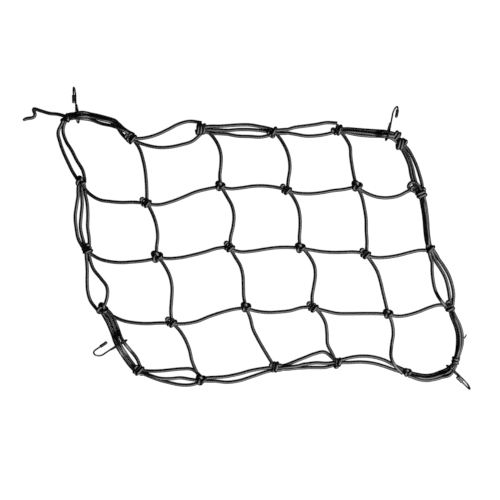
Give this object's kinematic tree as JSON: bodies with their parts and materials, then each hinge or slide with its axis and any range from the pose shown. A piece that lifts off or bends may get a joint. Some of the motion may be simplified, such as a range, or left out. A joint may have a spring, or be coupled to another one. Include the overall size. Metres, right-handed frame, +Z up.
{
  "type": "cargo net",
  "caption": "Elastic cord cargo net laid out flat: a knotted open mesh in a bundled cord border, with open wire hooks on the border near its corners.",
  "frame": {"origin": "middle of the laid-out net's box, on the floor it lies on", "axes": "+X along the net's longer side, to the right; +Y to the far side; +Z up from the floor"},
  "size_m": [0.5272, 0.3554, 0.025],
  "materials": {
    "elastic_cord": "black braided cover with a soft sheen",
    "hook_wire": "dark plated spring wire",
    "sleeve_plastic": "soft black sleeve with a dull sheen"
  },
  "bodies": {
    "root": {"net": "elastic_cord", "hook_upper_left": "hook_wire", "hook_upper_right": "hook_wire", "hook_lower_left": "hook_wire", "hook_lower_right": "hook_wire", "sleeve_upper_left": "sleeve_plastic", "sleeve_upper_right": "sleeve_plastic", "sleeve_lower_left": "sleeve_plastic", "sleeve_lower_right": "sleeve_plastic"}
  },
  "joints": []
}
